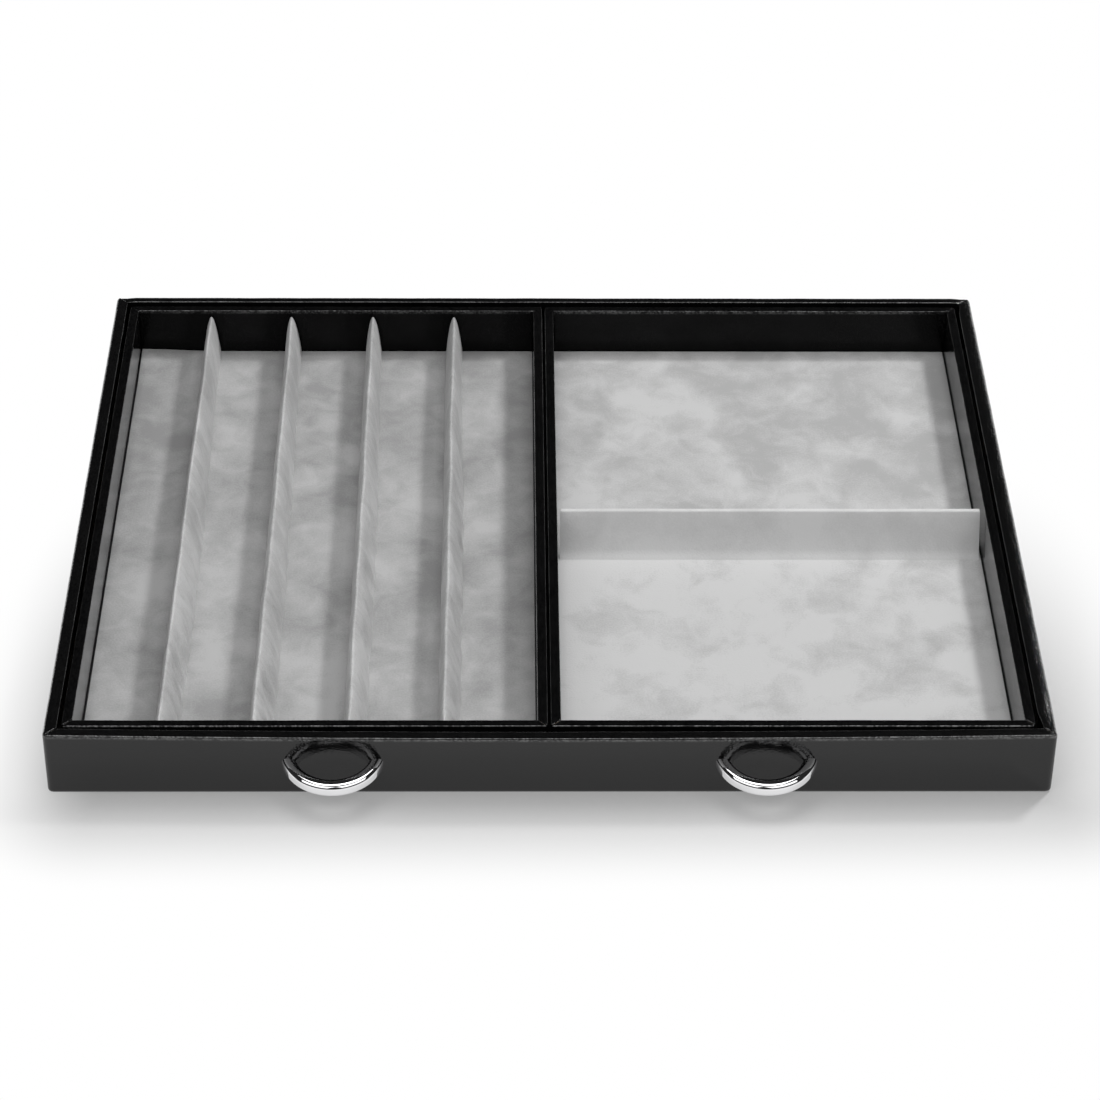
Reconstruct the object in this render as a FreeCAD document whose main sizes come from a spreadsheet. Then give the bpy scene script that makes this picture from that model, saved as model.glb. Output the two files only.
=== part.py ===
import FreeCAD, Part
import Sketcher
import math
import os
import re

# Drawer of a jewellery box: a leatherette-wrapped case with two ring pulls, and two lift-out trays
# in it, one with four soft fins and one with a cross divider. The origin lies at the centre of the
# case's underside, +Y runs to the back and +Z up. Lengths are in millimetres, angles in degrees.

SIZES = {
    # Case: boards on a base, each wall board wrapped in a strip of leatherette.
    "drawer_width": 350,
    "drawer_depth": 280,
    "drawer_height": 26,
    "drawer_board": 3.3,
    "drawer_base": 2.4,
    "drawer_lining": 0.5,
    "wrap": 0.7,
    "drawer_rim_round": 1.1,
    "drawer_corner_round": 2.2,
    "drawer_hem": 4.4,
    "foot_round": 1.2,
    "sheet_gap": 0.3,
    # Trays: the same build, smaller, standing loose in the case.
    "tray_gap_left": 1.3,
    "tray_gap_middle": 0.9,
    "tray_gap_right": 2.2,
    "tray_gap_front": 1.3,
    "tray_gap_back": 2.0,
    "tray_recess": 0.4,
    "tray_board": 2.2,
    "tray_base": 1.3,
    "tray_rim_round": 1.0,
    "tray_corner_round": 1.6,
    "tray_hem": 3.3,
    # Velour floor pad of a tray, laid in with a gap all round.
    "pad_thickness": 0.7,
    "pad_side_gap": 0.4,
    "pad_end_gap": 0.4,
    "pad_round": 0.3,
    # Soft fins of the left tray: a velour sleeve over a card blade.
    "fin_first": 29.5,
    "fin_pitch": 33,
    "fin_height": 17.5,
    "fin_foot": 6.8,
    "fin_tip_round": 1.1,
    "fin_lean": 10,
    "fin_card": 1.0,
    "fin_card_height": 14.5,
    "fin_end_gap": 0.3,
    # Cross divider of the right tray: a velour sleeve over a card.
    "divider_setback": 119.7,
    "divider_height": 19.6,
    "divider_card": 1.0,
    "divider_velour": 0.4,
    "divider_end_gap": 1.4,
    # Half-ring pulls: a round-edged bar bent to an arc, screwed to the front board from inside.
    "pull_spacing": 150,
    "pull_level": 13.4,
    "pull_diameter": 36.4,
    "pull_bar_width": 5.0,
    "pull_bar_height": 5.0,
    "pull_bar_round": 1.8,
    "pull_setback": 2.1,
    "screw_diameter": 1.8,
    "screw_length": 6.4,
    "screw_head_diameter": 3.6,
    "screw_fit": 0.1,
    "screw_slot_width": 0.5,
    "screw_slot_depth": 0.4,
}
SCREW_POINT_CLEARANCE = 0.4
CUT_MARGIN = 1.0
LENGTH_TOLERANCE = 1e-4
VOLUME_TOLERANCE = 1e-6
FIN_COUNT = 4
SIDE_SIGNS = {"left": -1, "right": 1}

# Lengths that follow from the sizes above, written as formulas of the sheet.
DRAWER_WALL = "(drawer_board + 2 * wrap)"
TRAY_WALL = "(tray_board + 2 * wrap)"
TRAY_GAPS = "(tray_gap_left + tray_gap_middle + tray_gap_right)"
TRAY_WIDTH = f"((drawer_width - 2 * {DRAWER_WALL} - {TRAY_GAPS}) / 2)"
TRAY_DEPTH = f"(drawer_depth - 2 * {DRAWER_WALL} - tray_gap_front - tray_gap_back)"
TRAY_LEVEL = "(wrap + drawer_base + drawer_lining)"
TRAY_HEIGHT = f"(drawer_height - tray_recess - {TRAY_LEVEL})"
TRAY_Y = "((tray_gap_front - tray_gap_back) / 2)"
TRAY_X = {
    "left": f"({DRAWER_WALL} + tray_gap_left + {TRAY_WIDTH} / 2 - drawer_width / 2)",
    "right": f"(drawer_width / 2 - {DRAWER_WALL} - tray_gap_right - {TRAY_WIDTH} / 2)",
}
PAD_LEVEL = f"({TRAY_LEVEL} + wrap + tray_base)"
FLOOR_LEVEL = f"({PAD_LEVEL} + pad_thickness)"

document = FreeCAD.newDocument("drawer")
sheet = document.addObject("Spreadsheet::Sheet", "Sizes")
for row, (alias, size) in enumerate(SIZES.items(), start=1):
    sheet.set(f"A{row}", alias)
    sheet.set(f"B{row}", str(size))
    sheet.setAlias(f"B{row}", alias)
document.recompute()
SUB_PARTS = []


def formula(text):
    """The text as an expression, with each size read from the sheet."""
    return re.sub(r"\b(" + "|".join(SIZES) + r")\b", r"Sizes.\1", str(text))


def value(text):
    """What a formula comes to with the sheet's present numbers."""
    return float(sheet.evalExpression(formula(text)))


def bind(item, **formulas):
    """Tie properties of an object to formulas; a double underscore stands for a dot."""
    for name, text in formulas.items():
        item.setExpression(name.replace("__", "."), formula(text))


def place(item, label, x=0, y=0, z=0, turn=0):
    """Name a sub-part, turn it about Z and tie its place to the sheet."""
    item.Label = label
    item.Placement.Rotation = FreeCAD.Rotation(FreeCAD.Vector(0, 0, 1), turn)
    bind(item, Placement__Base__x=x, Placement__Base__y=y, Placement__Base__z=z)
    SUB_PARTS.append(item)
    return item


def new_body(name):
    return document.addObject("PartDesign::Body", name)


def origin_item(body, role):
    """A plane or axis of the body's own origin."""
    return next(item for item in body.Origin.OriginFeatures if item.Role == role)


def new_sketch(body, plane, offset=0):
    """A sketch on one of the body's origin planes, moved along the plane's normal."""
    sketch = body.newObject("Sketcher::SketchObject", f"{body.Name}_sketch")
    sketch.AttachmentSupport = [(origin_item(body, plane), "")]
    sketch.MapMode = "FlatFace"
    bind(sketch, AttachmentOffset__Base__z=offset)
    return sketch


def pin(sketch, curve, end, x, y):
    """Hold one end, or the centre, of a curve at a place given by formulas."""
    for kind, text in (("DistanceX", x), ("DistanceY", y)):
        index = sketch.addConstraint(Sketcher.Constraint(kind, curve, end, value(text)))
        sketch.setExpression(f"Constraints[{index}]", formula(text))


def bend(start, end, radius):
    """The arc from start to end: about a centre on its left for a radius above zero."""
    middle = (start + end) / 2
    chord = end - start
    rise = math.sqrt(max(radius**2 - (chord.Length / 2) ** 2, 0)) * math.copysign(1, radius)
    centre = middle + FreeCAD.Vector(-chord.y, chord.x, 0).normalize() * rise
    first, last = (start, end) if radius > 0 else (end, start)
    angles = [math.atan2(p.y - centre.y, p.x - centre.x) for p in (first, last)]
    circle = Part.Circle(centre, FreeCAD.Vector(0, 0, 1), abs(radius))
    return Part.ArcOfCircle(circle, *angles)


def outline(sketch, points):
    """A closed outline: each point is x, y and, where an arc leads to it, that arc's radius."""
    places = [FreeCAD.Vector(value(p[0]), value(p[1]), 0) for p in points]
    ends = []
    for index, point in enumerate(points):
        start, end = places[index - 1], places[index]
        if len(point) == 2:
            curve = sketch.addGeometry(Part.LineSegment(start, end), False)
            ends.append((curve, 1, 2))
        else:
            radius = value(point[2])
            curve = sketch.addGeometry(bend(start, end, radius), False)
            ends.append((curve, 1, 2) if radius > 0 else (curve, 2, 1))
            size = sketch.addConstraint(Sketcher.Constraint("Radius", curve, abs(radius)))
            sketch.setExpression(f"Constraints[{size}]", f"abs({formula(point[2])})")
    for index, (curve, start, end) in enumerate(ends):
        before, _, before_end = ends[index - 1]
        sketch.addConstraint(Sketcher.Constraint("Coincident", curve, start, before, before_end))
        pin(sketch, curve, end, *points[index][:2])


def rectangle(sketch, left, low, right, high):
    outline(sketch, [(left, low), (right, low), (right, high), (left, high)])


def heading(start, end):
    """Which way a level or upright edge runs: -1, 0 or 1 along X and along Y."""
    return [(b - a > LENGTH_TOLERANCE) - (a - b > LENGTH_TOLERANCE) for a, b in zip(start, end)]


def rounded(corners, chords=False):
    """Points of an outline of level and upright edges; a corner's third value rounds it.

    With chords, each round is two flats that meet on its arc, which keeps a swept bar's mesh light.
    """
    places = [(value(x), value(y)) for x, y, _ in corners]
    points = []
    for index, (x, y, radius) in enumerate(corners):
        way_in = heading(places[index - 1], places[index])
        way_out = heading(places[index], places[(index + 1) % len(corners)])
        if radius is None:
            points.append((x, y))
            continue
        turn = way_in[0] * way_out[1] - way_in[1] * way_out[0]
        start = (f"{x} - ({way_in[0]}) * {radius}", f"{y} - ({way_in[1]}) * {radius}")
        end = (f"{x} + ({way_out[0]}) * {radius}", f"{y} + ({way_out[1]}) * {radius}")
        if chords:
            cut = f"{radius} * (1 - sqrt(0.5))"
            middle = [f"{at} - ({a - b}) * {cut}" for at, a, b in zip((x, y), way_in, way_out)]
            points += [start, middle, end]
        else:
            points += [start, (*end, f"({turn}) * {radius}")]
    return points


def pad(body, sketch, length, side="One side"):
    feature = body.newObject("PartDesign::Pad", f"{body.Name}_pad")
    feature.Profile = sketch
    feature.SideType = side
    bind(feature, Length=length)
    document.recompute()
    return feature


def pocket(body, sketch, length, side="One side", reverse=False):
    """Cut a sketch out of the body, and stop where nothing was cut."""
    before = body.Shape.Volume
    feature = body.newObject("PartDesign::Pocket", f"{body.Name}_pocket")
    feature.Profile = sketch
    feature.SideType = side
    feature.Reversed = reverse
    bind(feature, Length=length)
    document.recompute()
    if body.Shape.Volume > before - VOLUME_TOLERANCE:
        raise ValueError(f"{feature.Name} cuts nothing")
    return feature


def mirror(body, feature):
    """Repeat a feature on the other side of the body's YZ plane."""
    copy = body.newObject("PartDesign::Mirrored", f"{body.Name}_mirror")
    copy.Originals = [feature]
    copy.MirrorPlane = (origin_item(body, "YZ_Plane"), [""])
    body.Tip = copy
    document.recompute()


# Walls and wraps: both are straight strips with a profile across and a mitre at each end. A strip
# lies along X with its wall's outer face at Y = 0, its inner face at the wall's thickness.

def mitre_ends(body, length, wall, corner):
    """Cut both ends at 45 degrees, with the wall's upright corner rounded where it has a radius."""
    half = f"{length} / 2"
    short = f"({corner} * (1 - sqrt(0.5)))"
    points = [
        (f"{half} + {CUT_MARGIN}", f"-{CUT_MARGIN}"),
        (f"{half} + {CUT_MARGIN}", f"{wall} + {CUT_MARGIN}"),
        (f"{half} - {wall} - {CUT_MARGIN}", f"{wall} + {CUT_MARGIN}"),
    ]
    if value(corner) > 0:
        points += [
            (f"{half} - {short}", short),
            (f"{half} - {corner}", 0, f"-{corner}"),
            (f"{half} - {corner}", f"-{CUT_MARGIN}"),
        ]
    sketch = new_sketch(body, "XY_Plane")
    outline(sketch, points)
    cut = pocket(body, sketch, f"2 * (drawer_height + {CUT_MARGIN})", side="Symmetric")
    mirror(body, cut)


def wall_board(label, length, wall, board, height, inner_round):
    """A wall board: its top edges follow the wrap's round, and its ends are mitred."""
    body = new_body(label)
    sketch = new_sketch(body, "YZ_Plane")
    outline(sketch, rounded([
        ("wrap", 0, None),
        (f"wrap + {board}", 0, None),
        (f"wrap + {board}", height, inner_round),
        ("wrap", height, inner_round),
    ]))
    pad(body, sketch, length, side="Symmetric")
    mitre_ends(body, length, wall, "0")
    return body


def wall_wrap(label, length, wall, height, base, rim_round, corner, hem):
    """A wrap: up the outside, over the rim, down to the base inside, and a hem under the base."""
    inner_round = f"({rim_round} - wrap)"
    body = new_body(label)
    sketch = new_sketch(body, "YZ_Plane")
    outline(sketch, rounded([
        (0, 0, "foot_round"),
        (hem, 0, None),
        (hem, "wrap", None),
        ("wrap", "wrap", None),
        ("wrap", f"{height} - wrap", inner_round),
        (f"{wall} - wrap", f"{height} - wrap", inner_round),
        (f"{wall} - wrap", f"wrap + {base}", None),
        (wall, f"wrap + {base}", None),
        (wall, height, rim_round),
        (0, height, rim_round),
    ]))
    pad(body, sketch, length, side="Symmetric")
    mitre_ends(body, length, wall, corner)
    return body


def four_sides(width, depth, x="0", y="0"):
    """For each side of a case: its name, its wall's length, where it stands and how it is turned."""
    return [
        ("front", width, x, f"{y} - {depth} / 2", 0),
        ("right", depth, f"{x} + {width} / 2", y, 90),
        ("back", width, x, f"{y} + {depth} / 2", 180),
        ("left", depth, f"{x} - {width} / 2", y, 270),
    ]


def flat_sheet(label, width, depth, thickness, x="0", y="0", z="0", edge_round=None):
    """A flat board or sheet centred on x and y, with its upper edge rounded where it is soft."""
    body = new_body(label)
    sketch = new_sketch(body, "XY_Plane")
    rectangle(sketch, f"-{width} / 2", f"-{depth} / 2", f"{width} / 2", f"{depth} / 2")
    slab = pad(body, sketch, thickness)
    if edge_round:
        top = max(range(len(slab.Shape.Faces)), key=lambda i: slab.Shape.Faces[i].CenterOfMass.z)
        soft = body.newObject("PartDesign::Fillet", f"{label}_soft_edge")
        soft.Base = (slab, [f"Face{top + 1}"])
        bind(soft, Radius=edge_round)
    return place(body, label, x, y, z)


# Case of the drawer.

def drawer_case():
    for side, length, x, y, turn in four_sides("drawer_width", "drawer_depth"):
        board_height = "(drawer_height - 2 * wrap - drawer_base)"
        board = wall_board(f"drawer_{side}_board", length, DRAWER_WALL, "drawer_board",
                           board_height, "(drawer_rim_round - wrap)")
        wrap = wall_wrap(f"drawer_{side}_wrap", length, DRAWER_WALL, "drawer_height", "drawer_base",
                         "drawer_rim_round", "drawer_corner_round", "drawer_hem")
        if side == "front":
            drill_for_pulls(board, wrap)
        place(board, f"drawer_{side}_board", x, y, "wrap + drawer_base", turn)
        place(wrap, f"drawer_{side}_wrap", x, y, 0, turn)
    flat_sheet("drawer_base_board", "(drawer_width - 2 * wrap)", "(drawer_depth - 2 * wrap)",
               "drawer_base", z="wrap")
    inside = f"2 * ({DRAWER_WALL} + sheet_gap)"
    flat_sheet("drawer_lining", f"(drawer_width - {inside})", f"(drawer_depth - {inside})",
               "drawer_lining", z="wrap + drawer_base")
    hems = "2 * (drawer_hem + sheet_gap)"
    flat_sheet("drawer_underside", f"(drawer_width - {hems})", f"(drawer_depth - {hems})", "wrap")


# Ring pulls. Each leg ends flat on the wrap, and a countersunk screw from inside the front board
# runs through the board and the wrap into the leg.

PULL_RADIUS = "((pull_diameter - pull_bar_width) / 2)"
LEG_X = f"sqrt({PULL_RADIUS}^2 - pull_setback^2)"
SCREW_HOLE = "(screw_diameter + 2 * screw_fit)"


def leg_places():
    """Where the four legs meet the front, across the drawer."""
    for pull in SIDE_SIGNS.values():
        for leg in SIDE_SIGNS.values():
            yield f"({pull}) * pull_spacing / 2 + ({leg}) * {LEG_X}"


def circles(sketch, centres, diameter):
    for x, y in centres:
        start = FreeCAD.Vector(value(x), value(y), 0)
        circle = Part.Circle(start, FreeCAD.Vector(0, 0, 1), value(diameter) / 2)
        curve = sketch.addGeometry(circle, False)
        pin(sketch, curve, 3, x, y)
        size = sketch.addConstraint(Sketcher.Constraint("Diameter", curve, value(diameter)))
        sketch.setExpression(f"Constraints[{size}]", formula(diameter))


def drill(body, level, diameter, depth, start=0):
    """Bore holes into the front from the plane at start, backwards, one for each leg."""
    sketch = new_sketch(body, "XZ_Plane", f"-({start})")
    circles(sketch, [(x, level) for x in leg_places()], diameter)
    pocket(body, sketch, depth)


def countersink(body, hole_diameter, sink_diameter, back):
    """Chamfer the back rims of the screw holes to take the screw heads."""
    drilled = body.Tip
    rims = []
    for index, edge in enumerate(drilled.Shape.Edges, start=1):
        box = edge.BoundBox
        on_back = max(abs(box.YMin - value(back)), box.YLength) < LENGTH_TOLERANCE
        if on_back and abs(box.XLength - value(hole_diameter)) < LENGTH_TOLERANCE:
            rims.append(f"Edge{index}")
    sink = body.newObject("PartDesign::Chamfer", f"{body.Name}_countersink")
    sink.Base = (drilled, rims)
    bind(sink, Size=f"({sink_diameter} - {hole_diameter}) / 2")
    document.recompute()


def drill_for_pulls(board, wrap):
    level = "(pull_level - wrap - drawer_base)"
    back = "(wrap + drawer_board)"
    drill(wrap, "pull_level", SCREW_HOLE, f"wrap + {CUT_MARGIN}", f"-{CUT_MARGIN} / 2")
    drill(board, level, SCREW_HOLE, f"{back} + {CUT_MARGIN}")
    countersink(board, SCREW_HOLE, "(screw_head_diameter + 2 * screw_fit)", back)


def ring_pull(side):
    """Half a ring of round-edged bar, cut flat where it meets the front, with a bore in each leg."""
    body = new_body(f"ring_pull_{side}")
    section = new_sketch(body, "XZ_Plane")
    inner = f"({PULL_RADIUS} - pull_bar_width / 2)"
    outer = f"({PULL_RADIUS} + pull_bar_width / 2)"
    outline(section, rounded([
        (inner, "-pull_bar_height / 2", "pull_bar_round"),
        (outer, "-pull_bar_height / 2", "pull_bar_round"),
        (outer, "pull_bar_height / 2", "pull_bar_round"),
        (inner, "pull_bar_height / 2", "pull_bar_round"),
    ], chords=True))
    arc = body.newObject("PartDesign::Revolution", f"{body.Name}_arc")
    arc.Profile = section
    arc.ReferenceAxis = (section, ["V_Axis"])
    arc.Angle = 180
    arc.Reversed = True
    document.recompute()
    behind = new_sketch(body, "XY_Plane")
    reach = f"({outer} + {CUT_MARGIN})"
    rectangle(behind, f"-{reach}", "-pull_setback", reach, CUT_MARGIN)
    pocket(body, behind, f"2 * (pull_bar_height + {CUT_MARGIN})", side="Symmetric")
    legs = [(f"({leg}) * {LEG_X}", "0") for leg in SIDE_SIGNS.values()]
    bores = new_sketch(body, "XZ_Plane", "pull_setback")
    circles(bores, legs, SCREW_HOLE)
    depth = f"(screw_length - drawer_board - wrap + {SCREW_POINT_CLEARANCE})"
    pocket(body, bores, depth, reverse=True)
    sign = SIDE_SIGNS[side]
    place(body, body.Name, f"({sign}) * pull_spacing / 2", "pull_setback - drawer_depth / 2", "pull_level")


def pull_screws():
    """The four countersunk screws, heads flush with the front board's inner face."""
    screws = []
    head = "((screw_head_diameter - screw_diameter) / 2)"
    shank = "(screw_diameter / 2)"
    for number, leg_x in enumerate(leg_places(), start=1):
        body = new_body(f"pull_screw_{number}")
        profile = new_sketch(body, "YZ_Plane")
        outline(profile, [
            (0, 0),
            ("-screw_length", 0),
            ("-screw_length", f"{shank} / 2"),
            (f"-screw_length + {shank} / 2", shank),
            (f"-{head}", shank),
            (0, "screw_head_diameter / 2"),
        ])
        turned = body.newObject("PartDesign::Revolution", f"{body.Name}_turned")
        turned.Profile = profile
        turned.ReferenceAxis = (profile, ["H_Axis"])
        turned.Angle = 360
        document.recompute()
        slot = new_sketch(body, "XZ_Plane")
        half = f"(screw_head_diameter / 2 + {CUT_MARGIN})"
        rectangle(slot, f"-{half}", "-screw_slot_width / 2", half, "screw_slot_width / 2")
        pocket(body, slot, "screw_slot_depth", reverse=True)
        bind(body, Placement__Base__x=leg_x, Placement__Base__z="pull_level",
             Placement__Base__y="wrap + drawer_board - drawer_depth / 2")
        screws.append(body)
    group = document.addObject("Part::Compound", "pull_screws")
    group.Links = screws
    return place(group, "pull_screws")


# Trays.

def tray_case(side):
    x, y = TRAY_X[side], TRAY_Y
    for wall, length, wall_x, wall_y, turn in four_sides(TRAY_WIDTH, TRAY_DEPTH, x, y):
        board_height = f"({TRAY_HEIGHT} - 2 * wrap - tray_base)"
        board = wall_board(f"{side}_tray_{wall}_board", length, TRAY_WALL, "tray_board",
                           board_height, "(tray_rim_round - wrap)")
        wrap = wall_wrap(f"{side}_tray_{wall}_wrap", length, TRAY_WALL, TRAY_HEIGHT, "tray_base",
                         "tray_rim_round", "tray_corner_round", "tray_hem")
        place(board, board.Name, wall_x, wall_y, PAD_LEVEL, turn)
        place(wrap, wrap.Name, wall_x, wall_y, TRAY_LEVEL, turn)
    flat_sheet(f"{side}_tray_base_board", f"({TRAY_WIDTH} - 2 * wrap)", f"({TRAY_DEPTH} - 2 * wrap)",
               "tray_base", x, y, f"{TRAY_LEVEL} + wrap")
    hems = "2 * (tray_hem + sheet_gap)"
    flat_sheet(f"{side}_tray_underside", f"({TRAY_WIDTH} - {hems})", f"({TRAY_DEPTH} - {hems})",
               "wrap", x, y, TRAY_LEVEL)
    flat_sheet(f"{side}_tray_floor_pad", f"({TRAY_WIDTH} - 2 * ({TRAY_WALL} + pad_side_gap))",
               f"({TRAY_DEPTH} - 2 * ({TRAY_WALL} + pad_end_gap))", "pad_thickness",
               x, y, PAD_LEVEL, "pad_round")


def fin_sleeve(label, length):
    """A lancet section: a foot, two sides that swell slightly, and a round tip, with a card slot."""
    body = new_body(label)
    foot = "(fin_foot / 2)"
    tip_level = "(fin_height - fin_tip_round)"
    # The side arcs run from the foot to the tip circle, which they touch at the angle fin_lean.
    swell = (f"(({foot}^2 + {tip_level}^2 - fin_tip_round^2) / 2 / "
             f"(fin_tip_round - {foot} * cos(fin_lean) + {tip_level} * sin(fin_lean)))")
    side = f"({swell} + fin_tip_round)"
    touch_x = "(fin_tip_round * cos(fin_lean))"
    touch_z = f"({tip_level} + fin_tip_round * sin(fin_lean))"
    section = new_sketch(body, "XZ_Plane")
    outline(section, [
        ("fin_card / 2", "0"),
        (foot, "0"),
        (touch_x, touch_z, side),
        (f"-{touch_x}", touch_z, "fin_tip_round"),
        (f"-{foot}", "0", side),
        ("-fin_card / 2", "0"),
        ("-fin_card / 2", "fin_card_height"),
        ("fin_card / 2", "fin_card_height"),
    ])
    pad(body, section, length, side="Symmetric")
    return body


def card_blade(label, plane, thickness, height, length):
    """A stiff card that stands in its sleeve."""
    body = new_body(label)
    section = new_sketch(body, plane)
    rectangle(section, f"-{thickness} / 2", "0", f"{thickness} / 2", height)
    pad(body, section, length, side="Symmetric")
    return body


def fins():
    length = f"({TRAY_DEPTH} - 2 * ({TRAY_WALL} + fin_end_gap))"
    inner_left = f"({TRAY_X['left']} - {TRAY_WIDTH} / 2 + {TRAY_WALL})"
    for number in range(FIN_COUNT):
        x = f"{inner_left} + fin_first + ({number}) * fin_pitch"
        sleeve = fin_sleeve(f"fin_{number + 1}_sleeve", length)
        place(sleeve, sleeve.Name, x, TRAY_Y, FLOOR_LEVEL)
        card = card_blade(f"fin_{number + 1}_card", "XZ_Plane", "fin_card", "fin_card_height", length)
        place(card, card.Name, x, TRAY_Y, FLOOR_LEVEL)


def cross_divider():
    """The divider: velour folded over a card from the front foot to the back foot."""
    length = f"({TRAY_WIDTH} - 2 * ({TRAY_WALL} + divider_end_gap))"
    half = "(divider_card / 2 + divider_velour)"
    y = f"{TRAY_Y} - {TRAY_DEPTH} / 2 + {TRAY_WALL} + divider_setback + {half}"
    sleeve = new_body("divider_sleeve")
    section = new_sketch(sleeve, "YZ_Plane")
    card_top = "(divider_height - divider_velour)"
    outline(section, rounded([
        ("divider_card / 2", "0", None),
        (half, "0", None),
        (half, "divider_height", "divider_velour"),
        (f"-{half}", "divider_height", "divider_velour"),
        (f"-{half}", "0", None),
        ("-divider_card / 2", "0", None),
        ("-divider_card / 2", card_top, None),
        ("divider_card / 2", card_top, None),
    ]))
    pad(sleeve, section, length, side="Symmetric")
    place(sleeve, "divider_sleeve", TRAY_X["right"], y, FLOOR_LEVEL)
    card = card_blade("divider_card", "YZ_Plane", "divider_card", card_top, length)
    place(card, "divider_card", TRAY_X["right"], y, FLOOR_LEVEL)


def check_and_write():
    """Stop at a failed feature or an unsound solid, then write one STEP file for each sub-part."""
    document.recompute()
    failed = [item.Name for item in document.Objects if {"Invalid", "Error"} & set(item.State)]
    if failed:
        raise ValueError(f"failed: {failed}")
    for item in SUB_PARTS:
        shape = item.Shape
        if shape.isNull() or not shape.isValid() or not shape.Solids:
            raise ValueError(f"unsound: {item.Label}")
    os.makedirs("parts", exist_ok=True)
    for item in SUB_PARTS:
        item.Shape.exportStep(os.path.join("parts", f"{item.Label}.step"))
    print(len(SUB_PARTS), "sub-parts written")


drawer_case()
for pull_side in SIDE_SIGNS:
    ring_pull(pull_side)
pull_screws()
for tray_side in SIDE_SIGNS:
    tray_case(tray_side)
fins()
cross_divider()
check_and_write()
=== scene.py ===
import math
import bmesh
import bpy
from mathutils import Matrix, Vector, noise


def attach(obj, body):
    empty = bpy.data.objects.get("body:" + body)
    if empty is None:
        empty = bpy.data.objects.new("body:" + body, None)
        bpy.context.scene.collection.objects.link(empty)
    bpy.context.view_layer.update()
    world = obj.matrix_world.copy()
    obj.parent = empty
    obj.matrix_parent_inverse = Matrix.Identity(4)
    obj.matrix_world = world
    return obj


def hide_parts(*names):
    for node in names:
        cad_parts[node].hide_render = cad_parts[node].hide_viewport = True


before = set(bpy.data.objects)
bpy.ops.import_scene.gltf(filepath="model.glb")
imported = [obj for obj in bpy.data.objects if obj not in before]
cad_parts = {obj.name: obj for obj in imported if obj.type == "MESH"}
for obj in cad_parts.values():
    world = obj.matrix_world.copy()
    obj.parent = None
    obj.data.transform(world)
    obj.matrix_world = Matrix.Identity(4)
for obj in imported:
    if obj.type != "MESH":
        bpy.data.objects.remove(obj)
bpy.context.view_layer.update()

# Fibreboard walls and bases. The case and both trays stand on sawn boards of fine brown fibreboard,
# glued at mitred corners and hidden once the leatherette is on. Their fibre is short and pressed
# flat, with a few paler flecks.
BOARD_BROWN = (0.27, 0.18, 0.11, 1)
BOARD_PALE = (0.40, 0.29, 0.19, 1)


class Wire:
    """The output of a node, so that sums of shader values read as sums."""

    def __init__(self, finish, socket):
        self.finish = finish
        self.socket = socket

    def maths(self, operation, *values):
        return self.finish.node("Math", {"operation": operation}, values)

    def __add__(self, other):
        return self.maths("ADD", self, other)

    def __radd__(self, other):
        return self.maths("ADD", other, self)

    def __sub__(self, other):
        return self.maths("SUBTRACT", self, other)

    def __rsub__(self, other):
        return self.maths("SUBTRACT", other, self)

    def __mul__(self, other):
        return self.maths("MULTIPLY", self, other)

    def __rmul__(self, other):
        return self.maths("MULTIPLY", other, self)

    def __abs__(self):
        return self.maths("ABSOLUTE", self)

    def at_least(self, other):
        """The larger of this value and another."""
        return self.maths("MAXIMUM", self, other)


class Finish:
    """A finish, built node by node."""

    def __init__(self, name, kept_in=bpy.data.materials):
        self.material = kept_in.new(name)
        self.material.use_nodes = True
        self.tree = self.material.node_tree
        self.tree.nodes.clear()

    def node(self, kind, settings=None, inputs=(), output=0):
        """Add a node: its settings first, then its sockets by name or in order; give one output."""
        node = self.tree.nodes.new("ShaderNode" + kind)
        for name, value in (settings or {}).items():
            setattr(node, name, value)
        named = inputs.items() if isinstance(inputs, dict) else enumerate(inputs)
        for name, value in named:
            if isinstance(value, Wire):
                self.tree.links.new(value.socket, node.inputs[name])
            else:
                node.inputs[name].default_value = value
        return Wire(self, node.outputs[output] if node.outputs else None)

    def place(self, stretch=(1, 1, 1)):
        """Where on the piece a point lies, stretched along the axes for a drawn-out pattern."""
        spot = self.node("TexCoord", output=3)
        return self.node("Mapping", inputs={"Vector": spot, "Scale": stretch})

    def along_axis(self, axis):
        """How far along X, Y or Z (0, 1 or 2) a point lies, in metres."""
        return self.node("SeparateXYZ", inputs=[self.place()], output=axis)

    def cloud(self, size, detail=3, stretch=(1, 1, 1), distortion=0):
        """Soft noise whose patches are about the given size across, in metres."""
        inputs = {"Vector": self.place(stretch), "Scale": 1 / size, "Detail": detail}
        return self.node("TexNoise", inputs={**inputs, "Distortion": distortion})

    def spread(self, amount, low, high, start=0.3, end=0.7):
        """A number that runs from low to high as the amount runs from start to end."""
        inputs = {"Value": amount, "From Min": start, "From Max": end}
        return self.node("MapRange", inputs={**inputs, "To Min": low, "To Max": high})

    def mixed(self, amount, first, second):
        """A colour between two others."""
        return self.node("Mix", {"data_type": "RGBA"}, {"Factor": amount, 6: first, 7: second}, 2)

    def bump(self, height, depth):
        """A relief of the given depth in metres."""
        return self.node("Bump", inputs={"Height": height, "Distance": depth, "Strength": 1})

    def surface(self, inputs):
        """Close the finish with its surface and give the material."""
        shader = self.node("BsdfPrincipled", inputs=inputs)
        self.node("OutputMaterial", inputs={"Surface": shader})
        return self.material


def dress(nodes, material):
    """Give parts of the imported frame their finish."""
    for name in nodes:
        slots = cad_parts[name].data.materials
        slots.clear()
        slots.append(material)


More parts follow.
